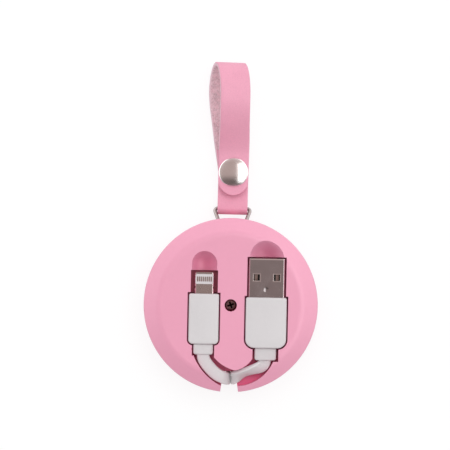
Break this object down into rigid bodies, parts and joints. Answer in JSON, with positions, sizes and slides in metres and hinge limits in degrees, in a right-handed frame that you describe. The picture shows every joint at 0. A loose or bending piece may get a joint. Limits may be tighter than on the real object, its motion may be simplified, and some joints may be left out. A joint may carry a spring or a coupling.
{
  "type": "retractable charging cable in a pocket case",
  "caption": "Retractable flat charging cable wound on a spring reel in a round case, with two plugs in front pockets and a snap strap on a wire ring",
  "frame": {"origin": "centre of the flat back face of the case", "axes": "+Z out of the front face that holds the plugs, +Y towards the strap, +X to the right when the front face is looked at with the strap upwards"},
  "size_m": [0.058, 0.1099, 0.018],
  "materials": {
    "case_plastic": "pink moulded plastic with a soft sheen",
    "cable_plastic": "white soft cable jacket",
    "grip_plastic": "white moulded plastic",
    "reel_plastic": "pale grey moulded plastic",
    "black_plastic": "black moulded plastic",
    "plug_steel": "plated steel",
    "dark_steel": "dark plated steel",
    "gold": "gold-plated contacts",
    "nickel": "bright nickel plating",
    "strap_leather": "grained pink leather with a raw suede back"
  },
  "bodies": {
    "case": {"back_shell": "case_plastic", "front_shell": "case_plastic", "centre_screw": "dark_steel", "usb_lead": "cable_plastic", "usb_strain_relief": "grip_plastic", "usb_grip": "grip_plastic", "usb_shell": "plug_steel", "usb_tongue": "black_plastic", "usb_contacts": "gold", "phone_lead": "cable_plastic", "phone_strain_relief": "grip_plastic", "phone_grip": "grip_plastic", "phone_tab": "plug_steel", "phone_contact_block": "grip_plastic", "phone_contacts": "gold"},
    "reel": {"reel": "reel_plastic", "reel_cover": "reel_plastic", "cable_coil": "cable_plastic", "power_spring": "plug_steel"},
    "ball": {"ratchet_ball": "plug_steel"},
    "ring": {"wire_ring": "nickel"},
    "strap": {"strap": "strap_leather", "stud_cap": "nickel", "stud_socket": "nickel", "stud_post": "nickel", "stud_eyelet": "nickel"}
  },
  "joints": [
    {"name": "reel_turn", "type": "hinge", "parent": "case", "child": "reel", "pos_m": [0, 0, 0.006], "axis": [0, 0, 1], "range_deg": [0, 1440], "deforming": ["power_spring"]},
    {"name": "ball_slide", "type": "slide", "parent": "case", "child": "ball", "axis": [1, 0, 0], "range_m": [-0.0036, 0]},
    {"name": "ring_swing", "type": "hinge", "parent": "case", "child": "ring", "pos_m": [0, 0.0269, 0.006], "axis": [1, 0, 0], "range_deg": [-10, 50]},
    {"name": "strap_swing", "type": "hinge", "parent": "ring", "child": "strap", "pos_m": [0, 0.03226, 0.0025], "axis": [1, 0, 0], "range_deg": [-110, 32]}
  ]
}
